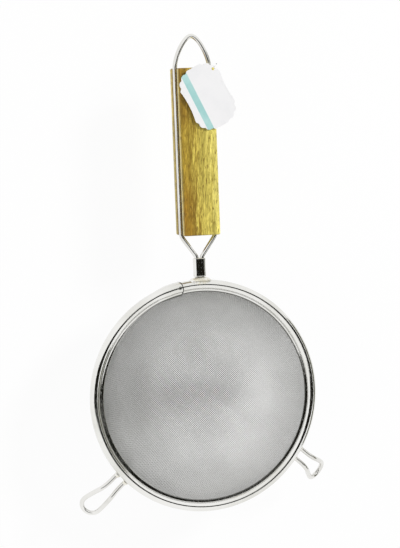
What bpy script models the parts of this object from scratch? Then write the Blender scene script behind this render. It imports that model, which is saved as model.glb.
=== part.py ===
# Mesh strainer with a wooden handle, a hanging loop, two rest ears and a hang tag.
# Sizes are in metres. +Z is up, the bowl opens to +Z and the handle runs along +Y.
# Shapes are first placed from the rim's centre, at the middle of the rim's height.
# The last step moves the whole part, so that the origin is at the bottom centre of its box.

import math

import bmesh
import bpy
from mathutils import Matrix, Vector

MM = 0.001
CLEARANCE = 0.3 * MM

# Rim: one steel channel, open below, bent to a hoop with its two ends lapped
RIM_OUTER_RADIUS = 100.0 * MM
RIM_BEAD_WIDTH = 8.2 * MM
RIM_LIP_WIDTH = 1.3 * MM
RIM_HEIGHT = 8.5 * MM
RIM_SHEET = 0.6 * MM
RIM_CURL_RADIUS = 1.2 * MM
RIM_LIP_DROP = 1.6 * MM
RIM_LIP_MIDDLE = (0.55, 0.8)
RIM_STATIONS = 76
LAP_NOSE_DEG = 98.8
LAP_OVERLAP_DEG = 7.0
LAP_RISE_DEG = 9.0
LAP_NOSE_ROUNDING_DEG = 2.6
LAP_NOSE_SHARES = (0.0, 0.14, 0.3, 0.6, 1.0)
LAP_RISE_STEPS = 3
LAP_UNDER_SHARES = (0.5, 0.97)
SPOT_WELD_BACK_DEG = 1.9
SPOT_WELD_RADIUS = 1.3 * MM
SPOT_WELD_DEPTH = 0.35 * MM

# Mesh bowl: a square net drawn into a round bowl, with its edge turned up inside the rim
BOWL_DEPTH = 62.0 * MM
BOWL_GAPS_ACROSS = 16
BOWL_TURN_DEG = 45.0
STRAND_WIDTH = 1.5 * MM
STRAND_THICKNESS = 0.9 * MM
SKIRT_HEIGHT = 3.6 * MM
SKIRT_DROP = 0.4 * MM
MERGE_DISTANCE = 0.01 * MM

# Handle wire: one hairpin of round wire, its bend left free above the block as a hanging loop
WIRE_RADIUS = 2.0 * MM
WIRE_SPACING = 30.0 * MM
WIRE_END_GAP = 0.5 * MM
WIRE_STRAIGHT_END = 1.0 * MM
NECK_LENGTH = 20.0 * MM
NECK_BEND_RADIUS = 7.0 * MM
FERRULE_BEND_RADIUS = 6.0 * MM
LOOP_HEIGHT = 27.0 * MM
LOOP_SHOULDER = 10.0 * MM
LOOP_CROWN = 5.5 * MM
LOOP_STEPS = 12

# Ferrule: an oval sleeve pressed round both wires
FERRULE_LENGTH = 15.6 * MM
FERRULE_SHEET = 1.2 * MM
FERRULE_FROM_RIM = 3.0 * MM
FERRULE_EDGE = 0.4 * MM

# Handle block: wood, with a flared groove for the wire along each side
BLOCK_LENGTH = 142.0 * MM
BLOCK_WIDTH = 32.0 * MM
BLOCK_THICKNESS = 30.0 * MM
BLOCK_CORNER_RADIUS = 2.2 * MM
BLOCK_END_ROUNDING = 1.2 * MM
GROOVE_LIP = 9.5 * MM

# Rest ears: keyhole loops of round wire, their feet under the rim
EAR_WIRE_RADIUS = 2.0 * MM
EAR_LENGTH = 48.5 * MM
EAR_LEG_SPACING = 9.6 * MM
EAR_LEG_STRAIGHT = 11.5 * MM
EAR_END_RADIUS = 8.2 * MM
EAR_BEND_RADIUS = 8.0 * MM
EAR_FOOT_INSIDE = 4.5 * MM
LEFT_EAR_DEG = 221.7
LEFT_EAR_SKEW_DEG = 0.0
LEFT_EAR_BEND_DEG = 29.7
LEFT_EAR_STRAIGHT = 19.9 * MM
RIGHT_EAR_DEG = 326.3
RIGHT_EAR_SKEW_DEG = -8.3
RIGHT_EAR_BEND_DEG = 51.2
RIGHT_EAR_STRAIGHT = 17.2 * MM
EAR_WELD_RADIUS = 2.5 * MM
EAR_WELD_STANDOFF = 0.2 * MM
EAR_WELD_FLATNESS = 0.8
WELD_SECTOR_HALF_DEG = 8.0
WELD_SECTOR_STEPS = 8

# Weld that joins the handle wire to the rim
HANDLE_WELD_WIDTH = 20.0 * MM
HANDLE_WELD_LENGTH = 8.0 * MM
HANDLE_WELD_HEIGHT = 9.6 * MM
HANDLE_WELD_RISE = 0.6 * MM

# Hang tag: a card with scalloped corners. A corner's places are (from the end, from the side).
TAG_LENGTH = 55.0 * MM
TAG_WIDTH = 37.2 * MM
TAG_CARD = 0.6 * MM
TAG_CORNER = 13.0 * MM
TAG_OUTER_NOTCH = (10.8 * MM, 1.9 * MM)
TAG_MIDDLE_NOTCH = 5.2 * MM
TAG_LOBE_BULGE = 1.3 * MM
TAG_LOBE_STEPS = 4
TAG_TURN_DEG = -64.0
TAG_LIFT = 3.0 * MM
TAG_HOLE_RADIUS = 1.3 * MM
TAG_HOLE_FROM_END = 9.0 * MM
TAG_HOLE_FROM_SIDE = 4.3 * MM
TAG_HOLE_INSIDE_WIRE = 1.5 * MM
TAG_HOLE_BELOW_BLOCK_END = 1.6 * MM

# Tie: a plastic loop round the wire's right leg and through the tag's hole
TIE_RADIUS = 0.4 * MM
TIE_OUTSIDE_REACH = 4.8 * MM
TIE_OUTSIDE_DEG = 115.0
TIE_SLACK = 0.3 * MM
TIE_BELOW_CARD = 0.8 * MM
TIE_UNDER_SAG = 0.2 * MM
TIE_UNDER_SHIFT = 0.5 * MM
TIE_ABOVE_BLOCK_END = 3.0 * MM

# Values that follow from the sizes above
RIM_TOP = RIM_HEIGHT / 2
RIM_BOTTOM = -RIM_HEIGHT / 2
BEAD_RADIUS = (RIM_BEAD_WIDTH - RIM_SHEET) / 2
BEAD_CENTRE_RADIUS = RIM_OUTER_RADIUS - RIM_SHEET / 2 - BEAD_RADIUS
BEAD_CENTRE_Z = RIM_TOP - RIM_SHEET / 2 - BEAD_RADIUS
INNER_LEG_RADIUS = BEAD_CENTRE_RADIUS - BEAD_RADIUS
LAP_LIFT = RIM_SHEET + CLEARANCE
SKIRT_RADIUS = INNER_LEG_RADIUS + RIM_SHEET / 2 + CLEARANCE + STRAND_THICKNESS / 2
SKIRT_BOTTOM = RIM_BOTTOM - SKIRT_DROP
FERRULE_START = RIM_OUTER_RADIUS + FERRULE_FROM_RIM
FERRULE_END = FERRULE_START + FERRULE_LENGTH
BLOCK_START = FERRULE_END + NECK_LENGTH
BLOCK_END = BLOCK_START + BLOCK_LENGTH
WIRE_PAIR_OFFSET = WIRE_RADIUS + CLEARANCE / 2
EAR_FOOT_Z = RIM_BOTTOM - CLEARANCE - EAR_WIRE_RADIUS
BLOCK_TOP = BLOCK_THICKNESS / 2
TAG_BOTTOM = BLOCK_TOP + TAG_LIFT


def clear_scene():
    for obj in list(bpy.data.objects):
        bpy.data.objects.remove(obj, do_unlink=True)


def make_material(name, color, roughness, metallic):
    material = bpy.data.materials.new(name)
    material.use_nodes = True
    shader = material.node_tree.nodes["Principled BSDF"]
    shader.inputs["Base Color"].default_value = (*color, 1.0)
    shader.inputs["Roughness"].default_value = roughness
    shader.inputs["Metallic"].default_value = metallic
    material.diffuse_color = (*color, 1.0)
    return material


def add_object(name, data, material, angle_deg=35.0):
    obj = bpy.data.objects.new(name, data)
    bpy.context.scene.collection.objects.link(obj)
    data.materials.append(material)
    if isinstance(data, bpy.types.Mesh):
        data.shade_smooth()
        data.set_sharp_from_angle(angle=math.radians(angle_deg))
    return obj


def mesh_from(bm, name):
    bmesh.ops.recalc_face_normals(bm, faces=bm.faces)
    mesh = bpy.data.meshes.new(name)
    bm.to_mesh(mesh)
    bm.free()
    return mesh


def polar(radius, degrees, z=0.0):
    turn = math.radians(degrees)
    return Vector((radius * math.cos(turn), radius * math.sin(turn), z))


def arc(centre, radius, start_deg, end_deg, steps):
    """Points of an arc in the plane, from one angle to another."""
    points = []
    for step in range(steps + 1):
        turn = math.radians(start_deg + (end_deg - start_deg) * step / steps)
        points.append((centre[0] + radius * math.cos(turn), centre[1] + radius * math.sin(turn)))
    return points


def loft(sections, closed_ends=True):
    """Join equal closed sections by rows of quads, with a face on each end."""
    bm = bmesh.new()
    rings = [[bm.verts.new(point) for point in section] for section in sections]
    count = len(rings[0])
    for ring, following in zip(rings, rings[1:]):
        for i in range(count):
            j = (i + 1) % count
            bm.faces.new((ring[i], ring[j], following[j], following[i]))
    if closed_ends:
        bm.faces.new(rings[0][::-1])
        bm.faces.new(rings[-1])
    return bm


def add_wire(name, points, radius, material, cyclic=False):
    """Round wire along a line of points."""
    curve = bpy.data.curves.new(name, "CURVE")
    curve.dimensions = "3D"
    curve.bevel_depth = radius
    curve.bevel_resolution = 2
    curve.use_fill_caps = True
    spline = curve.splines.new("POLY")
    spline.points.add(len(points) - 1)
    for point, place in zip(spline.points, points):
        point.co = (*place, 1.0)
    spline.use_cyclic_u = cyclic
    spline.use_smooth = True
    return add_object(name, curve, material)


def rounded_line(corners, radii, steps=5):
    """A line through corners, with each inner corner turned by an arc of its own radius."""
    line = [corners[0]]
    for before, corner, after, radius in zip(corners, corners[1:], corners[2:], radii):
        inward = (before - corner).normalized()
        outward = (after - corner).normalized()
        half = inward.angle(outward) / 2
        reach = radius / math.tan(half)
        centre = corner + (inward + outward).normalized() * (radius / math.sin(half))
        start = corner + inward * reach - centre
        end = corner + outward * reach - centre
        for step in range(steps + 1):
            line.append(centre + start.normalized().slerp(end.normalized(), step / steps) * radius)
    line.append(corners[-1])
    return line


def add_cutter(name, bm):
    cutter = bpy.data.objects.new(name, mesh_from(bm, name))
    bpy.context.scene.collection.objects.link(cutter)
    cutter.hide_render = True
    cutter.display_type = "WIRE"
    return cutter


def cut(obj, cutter):
    boolean = obj.modifiers.new(cutter.name, "BOOLEAN")
    boolean.operation = "DIFFERENCE"
    boolean.solver = "EXACT"
    boolean.object = cutter


def rim_line(lift=0.0):
    """Middle line of the rim's sheet in (radius, z), from the outer curl over the bead to the lip."""
    centre = (BEAD_CENTRE_RADIUS, BEAD_CENTRE_Z)
    outer_leg = BEAD_CENTRE_RADIUS + BEAD_RADIUS
    curl_centre = (outer_leg - RIM_CURL_RADIUS, RIM_BOTTOM + RIM_SHEET / 2 + RIM_CURL_RADIUS)
    line = arc(curl_centre, RIM_CURL_RADIUS, -90.0, 0.0, 2)
    line += arc(centre, BEAD_RADIUS, 0.0, 180.0, 6)
    knee = (INNER_LEG_RADIUS, BEAD_CENTRE_Z - RIM_LIP_DROP)
    line.append(knee)
    line.append((knee[0] - RIM_LIP_WIDTH * RIM_LIP_MIDDLE[0], knee[1] - RIM_LIP_WIDTH * RIM_LIP_MIDDLE[1]))
    line.append((knee[0] - RIM_LIP_WIDTH, knee[1] - RIM_LIP_WIDTH))
    return shift_line(line, lift)


def line_normals(line):
    """Unit normals on the right-hand side of a line, averaged at its corners."""
    normals = []
    for i in range(len(line)):
        before = line[max(i - 1, 0)]
        after = line[min(i + 1, len(line) - 1)]
        along = Vector((after[0] - before[0], after[1] - before[1])).normalized()
        normals.append((along.y, -along.x))
    return normals


def shift_line(line, distance):
    return [
        (point[0] + normal[0] * distance, point[1] + normal[1] * distance)
        for point, normal in zip(line, line_normals(line))
    ]


def sheet_section(lift):
    """Closed outline of the rim's sheet in (radius, z), lifted off the channel by a distance."""
    line = rim_line(lift)
    return shift_line(line, RIM_SHEET / 2) + shift_line(line, -RIM_SHEET / 2)[::-1]


def lap_lift_at(turn):
    """How far the sheet stands off the channel at an angle past the lap's nose."""
    if turn <= LAP_OVERLAP_DEG:
        return LAP_LIFT
    share = min((turn - LAP_OVERLAP_DEG) / LAP_RISE_DEG, 1.0)
    return LAP_LIFT * (1.0 + math.cos(math.pi * share)) / 2


def rim_turns():
    """Angles of the rim's sections past the nose, closer together along the lap."""
    lap_end = LAP_OVERLAP_DEG + LAP_RISE_DEG
    turns = [LAP_OVERLAP_DEG * share for share in LAP_NOSE_SHARES]
    turns += [LAP_OVERLAP_DEG + LAP_RISE_DEG * (i + 1) / LAP_RISE_STEPS for i in range(LAP_RISE_STEPS)]
    whole = 360.0 - lap_end
    turns += [lap_end + whole * step / RIM_STATIONS for step in range(1, RIM_STATIONS + 1)]
    turns += [360.0 + LAP_OVERLAP_DEG * share for share in LAP_UNDER_SHARES]
    return turns


def rim_section(turn):
    """Section of the rim at one angle. The nose of the lap is rounded across the sheet."""
    outline = sheet_section(lap_lift_at(turn) if turn < 180.0 else 0.0)
    half = len(outline) // 2
    section = []
    for i, (radius, z) in enumerate(outline):
        along = i if i < half else len(outline) - 1 - i
        across = 2.0 * along / (half - 1) - 1.0
        fade = max(1.0 - turn / LAP_OVERLAP_DEG, 0.0)
        back = LAP_NOSE_ROUNDING_DEG * across * across * fade
        section.append(polar(radius, LAP_NOSE_DEG + turn + back, z))
    return section


def build_rim(steel):
    rim = add_object("rim_hoop", mesh_from(loft([rim_section(t) for t in rim_turns()]), "rim_hoop"), steel)
    ball = (SPOT_WELD_RADIUS**2 + SPOT_WELD_DEPTH**2) / (2 * SPOT_WELD_DEPTH)
    top = RIM_TOP + LAP_LIFT
    place = polar(BEAD_CENTRE_RADIUS, LAP_NOSE_DEG + SPOT_WELD_BACK_DEG, top + ball - SPOT_WELD_DEPTH)
    bm = bmesh.new()
    bmesh.ops.create_uvsphere(bm, u_segments=24, v_segments=24, radius=ball, matrix=Matrix.Translation(place))
    cut(rim, add_cutter("spot_weld_cutter", bm))
    return rim


def rim_envelope(centre_deg):
    """A sector of the rim's whole outline, standing off it by the clearance."""
    outline = shift_line(rim_line(), RIM_SHEET / 2 + CLEARANCE)
    low = RIM_BOTTOM - CLEARANCE
    outline += [(outline[-1][0], low), (outline[0][0], low)]
    first = centre_deg - WELD_SECTOR_HALF_DEG
    stride = 2 * WELD_SECTOR_HALF_DEG / WELD_SECTOR_STEPS
    turns = [first + stride * step for step in range(WELD_SECTOR_STEPS + 1)]
    return loft([[polar(r, turn, z) for r, z in outline] for turn in turns])


def disc_from_square(u, v):
    """A point of the square -1..1 carried to the unit disc, with straight lines kept near its middle."""
    return u * math.sqrt(1.0 - v * v / 2), v * math.sqrt(1.0 - u * u / 2)


def bowl_point(u, v):
    """A point of the net on the bowl: equal steps on the net are equal lengths down the wall."""
    radius = SKIRT_RADIUS
    ball = (radius**2 + BOWL_DEPTH**2) / (2 * BOWL_DEPTH)
    wall_angle = math.asin(radius / ball)
    x, y = disc_from_square(u, v)
    share = math.hypot(x, y)
    turn = math.atan2(y, x) + math.radians(BOWL_TURN_DEG)
    slope = share * wall_angle
    z = SKIRT_BOTTOM - BOWL_DEPTH + ball * (1.0 - math.cos(slope))
    return Vector((ball * math.sin(slope) * math.cos(turn), ball * math.sin(slope) * math.sin(turn), z))


def net_layer(bm, side):
    """One side of the net: every cell's border, raised along the grid's lines by half a strand."""
    made = bmesh.ops.create_grid(bm, x_segments=BOWL_GAPS_ACROSS, y_segments=BOWL_GAPS_ACROSS, size=1.0)
    lines = made["verts"]
    for vert in lines:
        vert.co = bowl_point(vert.co.x, vert.co.y)
    cells = list({face for vert in lines for face in vert.link_faces})
    bmesh.ops.recalc_face_normals(bm, faces=cells)
    bmesh.ops.inset_individual(bm, faces=cells, thickness=STRAND_WIDTH / 2, use_even_offset=True)
    bmesh.ops.delete(bm, geom=cells, context="FACES_KEEP_BOUNDARY")
    ball = (SKIRT_RADIUS**2 + BOWL_DEPTH**2) / (2 * BOWL_DEPTH)
    middle = Vector((0.0, 0.0, SKIRT_BOTTOM - BOWL_DEPTH + ball))
    edge = [vert for vert in lines if abs(vert.co.z - SKIRT_BOTTOM) < MERGE_DISTANCE]
    for vert in lines:
        outward = (vert.co - middle).normalized()
        if vert in edge:
            outward = Vector((vert.co.x, vert.co.y, 0.0)).normalized()
        vert.co += outward * side * STRAND_THICKNESS / 2
    return edge


def extrude_edge(bm, edges, rise, widen):
    """Pull a ring of edges up, and out from the bowl's axis. Returns the new edges."""
    made = bmesh.ops.extrude_edge_only(bm, edges=edges)["geom"]
    verts = [item for item in made if isinstance(item, bmesh.types.BMVert)]
    for vert in verts:
        vert.co += Vector((vert.co.x, vert.co.y, 0.0)).normalized() * widen
        vert.co.z += rise
    ring = set(verts)
    return [e for e in made if isinstance(e, bmesh.types.BMEdge) and e.verts[0] in ring and e.verts[1] in ring]


def build_bowl(steel):
    """The net's two sides meet round each cell. The edge turns up into a skirt and down again."""
    bm = bmesh.new()
    net_layer(bm, -1.0)
    edge = set(net_layer(bm, 1.0))
    ring = [e for e in bm.edges if e.verts[0] in edge and e.verts[1] in edge]
    ring = extrude_edge(bm, ring, SKIRT_HEIGHT, 0.0)
    ring = extrude_edge(bm, ring, 0.0, -STRAND_THICKNESS)
    extrude_edge(bm, ring, -SKIRT_HEIGHT, 0.0)
    bmesh.ops.remove_doubles(bm, verts=bm.verts, dist=MERGE_DISTANCE)
    return add_object("mesh_bowl", mesh_from(bm, "mesh_bowl"), steel, 80.0)


def loop_points():
    """The free bend of the hairpin: a cubic curve from each leg to the crown."""
    half = WIRE_SPACING / 2
    start = Vector((half, BLOCK_END, 0.0))
    shoulder = start + Vector((0.0, LOOP_SHOULDER, 0.0))
    crown = Vector((0.0, BLOCK_END + LOOP_HEIGHT, 0.0))
    flank = crown + Vector((LOOP_CROWN, 0.0, 0.0))
    right = []
    for step in range(LOOP_STEPS + 1):
        t = step / LOOP_STEPS
        s = 1.0 - t
        right.append(s**3 * start + 3 * s * s * t * shoulder + 3 * s * t * t * flank + t**3 * crown)
    return right


def build_handle_wire(steel):
    half = WIRE_SPACING / 2
    foot = Vector((WIRE_PAIR_OFFSET, RIM_OUTER_RADIUS + WIRE_END_GAP, 0.0))
    corners = [
        foot,
        Vector((WIRE_PAIR_OFFSET, FERRULE_END + WIRE_STRAIGHT_END, 0.0)),
        Vector((half, BLOCK_START - WIRE_STRAIGHT_END, 0.0)),
        Vector((half, BLOCK_END, 0.0)),
    ]
    right = rounded_line(corners, (FERRULE_BEND_RADIUS, NECK_BEND_RADIUS))[:-1] + loop_points()
    left = [Vector((-p.x, p.y, p.z)) for p in right[:-1]]
    return add_wire("handle_wire", right + left[::-1], WIRE_RADIUS, steel)


def oval(half_width, half_height, y, steps=6):
    """Closed oval outline across the handle's axis."""
    centre = half_width - half_height
    right = arc((centre, 0.0), half_height, -90.0, 90.0, steps)
    left = arc((-centre, 0.0), half_height, 90.0, 270.0, steps)
    return [Vector((x, y, z)) for x, z in right + left]


def build_ferrule(steel):
    inner_height = WIRE_RADIUS + CLEARANCE
    inner_width = WIRE_PAIR_OFFSET + inner_height
    outer_height = inner_height + FERRULE_SHEET
    outer_width = inner_width + FERRULE_SHEET
    edge = FERRULE_EDGE
    sections = [
        oval(inner_width, inner_height, FERRULE_START),
        oval(outer_width - edge, outer_height - edge, FERRULE_START),
        oval(outer_width, outer_height, FERRULE_START + edge),
        oval(outer_width, outer_height, FERRULE_END - edge),
        oval(outer_width - edge, outer_height - edge, FERRULE_END),
        oval(inner_width, inner_height, FERRULE_END),
    ]
    return add_object("ferrule", mesh_from(loft(sections + sections[:1], closed_ends=False), "ferrule"), steel)


def groove_line(half_width, inset):
    """The groove on the right side: a round bottom about the wire, and walls flared to its two lips."""
    middle = WIRE_SPACING / 2
    bottom = WIRE_RADIUS + CLEARANCE + inset
    lip = GROOVE_LIP + inset
    out = half_width - middle
    touch = math.degrees(math.atan2(lip, out) + math.acos(bottom / math.hypot(lip, out)))
    return [(half_width, -lip)] + arc((middle, 0.0), bottom, 360.0 - touch, touch, 4) + [(half_width, lip)]


def block_section(y, inset):
    """Outline of the block across its length: rounded corners and a groove each side."""
    half_width = BLOCK_WIDTH / 2 - inset
    half_height = BLOCK_THICKNESS / 2 - inset
    corner = BLOCK_CORNER_RADIUS
    right = arc((half_width - corner, -half_height + corner), corner, -90.0, 0.0, 3)
    right += groove_line(half_width, inset)
    right += arc((half_width - corner, half_height - corner), corner, 0.0, 90.0, 3)
    left = [(-x, z) for x, z in right[::-1]]
    return [Vector((x, y, z)) for x, z in right + left]


def build_block(wood):
    end = BLOCK_END_ROUNDING
    sections = [
        block_section(BLOCK_START, end),
        block_section(BLOCK_START + 0.3 * end, 0.3 * end),
        block_section(BLOCK_START + end, 0.0),
        block_section(BLOCK_END - end, 0.0),
        block_section(BLOCK_END - 0.3 * end, 0.3 * end),
        block_section(BLOCK_END, end),
    ]
    return add_object("handle_block", mesh_from(loft(sections), "handle_block"), wood)


def keyhole(steps=6):
    """Half of an ear laid flat, as (along, across): a straight leg, a flare and a round end."""
    half = EAR_LEG_SPACING / 2
    flare_end = EAR_LENGTH - EAR_END_RADIUS
    points = [(0.0, half), (EAR_LEG_STRAIGHT / 2, half)]
    for step in range(steps + 1):
        t = step / steps
        along = EAR_LEG_STRAIGHT + (flare_end - EAR_LEG_STRAIGHT) * t
        points.append((along, half + (EAR_END_RADIUS - half) * t * t * (3.0 - 2.0 * t)))
    points += arc((flare_end, 0.0), EAR_END_RADIUS, 90.0, 0.0, 6)[1:]
    return points + [(along, -across) for along, across in points[-2::-1]]


def bend_down(along, straight, bend):
    """Distance out and height of a point of the flat ear, once it is bent down about a round bar."""
    turned = min(max(along - straight, 0.0) / EAR_BEND_RADIUS, bend)
    after = max(along - straight - EAR_BEND_RADIUS * bend, 0.0)
    out = min(along, straight) + EAR_BEND_RADIUS * math.sin(turned) + after * math.cos(bend)
    down = EAR_BEND_RADIUS * (1.0 - math.cos(turned)) + after * math.sin(bend)
    return out, -down


def ear_points(place_deg, skew_deg, bend_deg, straight):
    foot = polar(RIM_OUTER_RADIUS - EAR_FOOT_INSIDE, place_deg, EAR_FOOT_Z)
    outward = polar(1.0, place_deg + skew_deg)
    across = polar(1.0, place_deg + skew_deg + 90.0)
    points = []
    for along, side in keyhole():
        out, z = bend_down(along, straight, math.radians(bend_deg))
        points.append(foot + outward * out + across * side + Vector((0.0, 0.0, z)))
    return points


def ear_feet(place_deg, skew_deg):
    """The two places where an ear's legs pass under the rim's outer edge, and the way the legs run."""
    outward = polar(1.0, place_deg + skew_deg)
    across = polar(1.0, place_deg + skew_deg + 90.0)
    places = []
    for side in (-1.0, 1.0):
        foot = polar(RIM_OUTER_RADIUS - EAR_FOOT_INSIDE, place_deg) + across * side * EAR_LEG_SPACING / 2
        along = foot.dot(outward)
        run = math.sqrt(along**2 + RIM_OUTER_RADIUS**2 - foot.length_squared) - along
        places.append(foot + outward * run + Vector((0.0, 0.0, EAR_FOOT_Z)))
    return places, outward


def build_ear_weld(name, place, outward, envelope, steel):
    """A bead in the corner between one leg of an ear and the rim's outer edge."""
    middle = place + Vector((0.0, 0.0, EAR_WIRE_RADIUS + CLEARANCE)) + outward * EAR_WELD_STANDOFF
    bm = bmesh.new()
    size = Matrix.Translation(middle) @ Matrix.Diagonal((1.0, 1.0, EAR_WELD_FLATNESS, 1.0))
    bmesh.ops.create_uvsphere(bm, u_segments=14, v_segments=8, radius=EAR_WELD_RADIUS, matrix=size)
    weld = add_object(name, mesh_from(bm, name), steel)
    cut(weld, envelope)
    radius = EAR_WIRE_RADIUS + CLEARANCE
    turn = outward.to_track_quat("Z", "Y").to_matrix().to_4x4()
    wire = bmesh.new()
    bmesh.ops.create_cone(
        wire,
        cap_ends=True,
        segments=16,
        radius1=radius,
        radius2=radius,
        depth=6 * EAR_WELD_RADIUS,
        matrix=Matrix.Translation(place) @ turn,
    )
    cut(weld, add_cutter(name + "_wire_cutter", wire))
    return weld


def build_ear(side, place_deg, skew_deg, bend_deg, straight, steel, weld_steel):
    """One ear and the two welds on its legs."""
    ear = add_wire(side + "_rest_ear", ear_points(place_deg, skew_deg, bend_deg, straight), EAR_WIRE_RADIUS, steel)
    envelope = add_cutter("rim_at_" + side + "_ear", rim_envelope(place_deg))
    places, outward = ear_feet(place_deg, skew_deg)
    welds = []
    for leg, place in zip(("lower", "upper") if side == "right" else ("upper", "lower"), places):
        welds.append(build_ear_weld(side + "_ear_" + leg + "_weld", place, outward, envelope, weld_steel))
    return [ear] + welds


def build_handle_weld(envelope, steel):
    """Weld over the rim's shoulder, round both wire ends."""
    middle = Matrix.Translation((0.0, FERRULE_START - CLEARANCE - HANDLE_WELD_LENGTH / 2, HANDLE_WELD_RISE))
    size = Matrix.Diagonal((HANDLE_WELD_WIDTH / 2, HANDLE_WELD_LENGTH / 2, HANDLE_WELD_HEIGHT / 2, 1.0))
    bm = bmesh.new()
    bmesh.ops.create_uvsphere(bm, u_segments=24, v_segments=12, radius=1.0, matrix=middle @ size)
    weld = add_object("handle_weld", mesh_from(bm, "handle_weld"), steel)
    cut(weld, envelope)
    height = WIRE_RADIUS + CLEARANCE
    width = WIRE_PAIR_OFFSET + height
    start = RIM_OUTER_RADIUS + WIRE_END_GAP - CLEARANCE
    wires = loft([oval(width, height, start), oval(width, height, FERRULE_END)])
    cut(weld, add_cutter("handle_weld_wire_cutter", wires))
    return weld


def lobe(start, end):
    """Points from one notch to the next, bulging toward the corner by a parabola."""
    chord = Vector((end[0] - start[0], end[1] - start[1])).normalized()
    points = []
    for step in range(TAG_LOBE_STEPS + 1):
        t = step / TAG_LOBE_STEPS
        bulge = TAG_LOBE_BULGE * 4.0 * t * (1.0 - t)
        points.append((
            start[0] + (end[0] - start[0]) * t - chord.y * bulge,
            start[1] + (end[1] - start[1]) * t + chord.x * bulge,
        ))
    return points


def tag_corner():
    """One scalloped corner, as (from the end, from the side): two lobes between three notches."""
    near = TAG_OUTER_NOTCH
    far = near[::-1]
    middle = (TAG_MIDDLE_NOTCH, TAG_MIDDLE_NOTCH)
    return [(TAG_CORNER, 0.0)] + lobe(near, middle) + lobe(middle, far)[1:] + [(0.0, TAG_CORNER)]


def tag_outline():
    """The card's outline as (along, across), from its middle."""
    half_length = TAG_LENGTH / 2
    half_width = TAG_WIDTH / 2
    corner = tag_corner()
    outline = []
    for sign_u, sign_v in ((1, 1), (-1, 1), (-1, -1), (1, -1)):
        points = [(sign_u * (half_length - a), sign_v * (half_width - b)) for a, b in corner]
        outline += points if sign_u * sign_v < 0 else points[::-1]
    return outline[::-1]


def hole_place():
    """The tag's hole, over the inner side of the handle wire's right leg."""
    return Vector((WIRE_SPACING / 2 - TAG_HOLE_INSIDE_WIRE, BLOCK_END - TAG_HOLE_BELOW_BLOCK_END, TAG_BOTTOM))


def build_tag(card):
    """The card, with its hole at the object's origin."""
    hole_u = -(TAG_LENGTH / 2 - TAG_HOLE_FROM_END)
    hole_v = TAG_WIDTH / 2 - TAG_HOLE_FROM_SIDE
    turn = Matrix.Rotation(math.radians(TAG_TURN_DEG), 4, "Z")
    sections = []
    for z in (0.0, TAG_CARD):
        sections.append([turn @ Vector((u - hole_u, v - hole_v, z)) for u, v in tag_outline()])
    tag = add_object("hang_tag", mesh_from(loft(sections), "hang_tag"), card)
    bm = bmesh.new()
    bmesh.ops.create_cone(
        bm, cap_ends=True, segments=20, radius1=TAG_HOLE_RADIUS, radius2=TAG_HOLE_RADIUS, depth=8 * TAG_CARD
    )
    cutter = add_cutter("tag_hole_cutter", bm)
    cut(tag, cutter)
    tag.location = hole_place()
    cutter.location = hole_place()
    return tag


def smooth_loop(places, steps=4):
    """A closed smooth line through places, by Catmull and Rom's rule."""
    count = len(places)
    line = []
    for i in range(count):
        a, b, c, d = (places[(i + k) % count] for k in (-1, 0, 1, 2))
        for step in range(steps):
            t = step / steps
            line.append(
                0.5 * (2 * b + (c - a) * t + (2 * a - 5 * b + 4 * c - d) * t * t + (3 * b - a - 3 * c + d) * t**3)
            )
    return line


def build_tie(plastic):
    """Closed plastic loop: round the wire, up past the block's end, through the card and back."""
    hole = hole_place()
    pivot = Vector((WIRE_SPACING / 2, BLOCK_END + TIE_ABOVE_BLOCK_END, 0.0))
    ring = WIRE_RADIUS + CLEARANCE + TIE_RADIUS + TIE_SLACK
    card_top = TAG_BOTTOM + TAG_CARD
    over = card_top + CLEARANCE + TIE_RADIUS + TIE_SLACK + TIE_UNDER_SAG
    under = (BLOCK_TOP + TAG_BOTTOM) / 2 - TIE_UNDER_SAG
    outside = hole + polar(TIE_OUTSIDE_REACH, TAG_TURN_DEG + TIE_OUTSIDE_DEG)
    places = [
        pivot + Vector((0.0, 0.0, -ring)),
        pivot + Vector((ring, 0.0, 0.0)),
        pivot + Vector((ring, 0.0, BLOCK_TOP / 2)),
        Vector((outside.x + TIE_SLACK, outside.y + TIE_SLACK, TAG_BOTTOM - TIE_BELOW_CARD)),
        Vector((outside.x, outside.y, card_top)),
        Vector(((outside.x + hole.x) / 2, (outside.y + hole.y) / 2, over)),
        Vector((hole.x, hole.y, TAG_BOTTOM + TAG_CARD / 2)),
        Vector((hole.x - TIE_UNDER_SHIFT, BLOCK_END - TIE_UNDER_SAG, under)),
        pivot + Vector((-0.8 * ring, 0.0, 0.7 * BLOCK_TOP)),
        pivot + Vector((-ring, 0.0, 0.0)),
    ]
    tie = add_wire("tag_tie", [p - pivot for p in smooth_loop(places)], TIE_RADIUS, plastic, cyclic=True)
    tie.location = pivot
    return tie


def set_on_floor(pieces):
    """Move everything so that the origin is at the bottom centre of the part's box."""
    bpy.context.view_layer.update()
    depsgraph = bpy.context.evaluated_depsgraph_get()
    low = Vector((1.0, 1.0, 1.0))
    high = -low
    for piece in pieces:
        evaluated = piece.evaluated_get(depsgraph)
        mesh = evaluated.to_mesh()
        for vert in mesh.vertices:
            place = evaluated.matrix_world @ vert.co
            low = Vector(map(min, low, place))
            high = Vector(map(max, high, place))
        evaluated.to_mesh_clear()
    shift = -Vector(((low.x + high.x) / 2, (low.y + high.y) / 2, low.z))
    base = bpy.data.objects.new("strainer_frame", None)
    bpy.context.scene.collection.objects.link(base)
    for obj in bpy.context.scene.objects:
        if obj is not base:
            obj.parent = base
    base.location = shift
    return shift, high - low


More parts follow.
